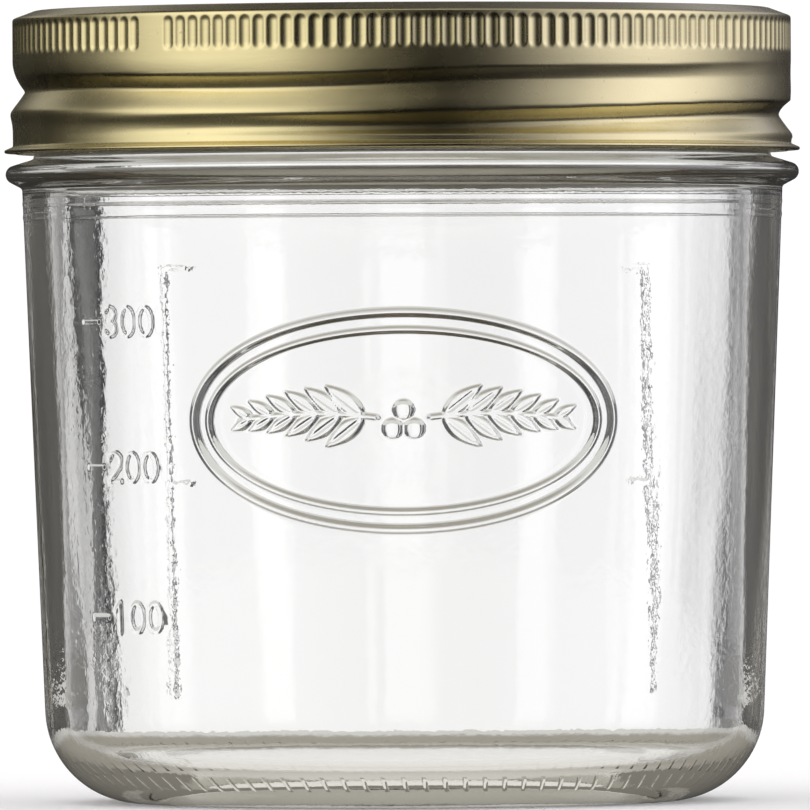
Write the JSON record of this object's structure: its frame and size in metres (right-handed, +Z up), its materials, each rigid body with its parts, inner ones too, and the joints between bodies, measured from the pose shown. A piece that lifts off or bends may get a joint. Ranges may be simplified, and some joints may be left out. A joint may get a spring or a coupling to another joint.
{
  "type": "canning jar",
  "caption": "Half-litre wide-mouth preserving jar in clear glass with a knurled brass-coloured screw band, a lid disc and a sealing ring.",
  "frame": {"origin": "centre of the base, on the surface that the jar stands on", "axes": "+Z up along the jar's axis; the front of the jar, with its medallion, faces -Y; the two moulded bars are on the back, towards +Y"},
  "size_m": [0.097, 0.097, 0.0965],
  "materials": {
    "clear_glass": "clear",
    "lacquered_tinplate": "satin",
    "lacquered_disc": "satin",
    "sealing_compound": "matte"
  },
  "bodies": {
    "root": {"jar": "clear_glass", "band": "lacquered_tinplate", "disc": "lacquered_disc", "seal": "sealing_compound"}
  },
  "joints": []
}
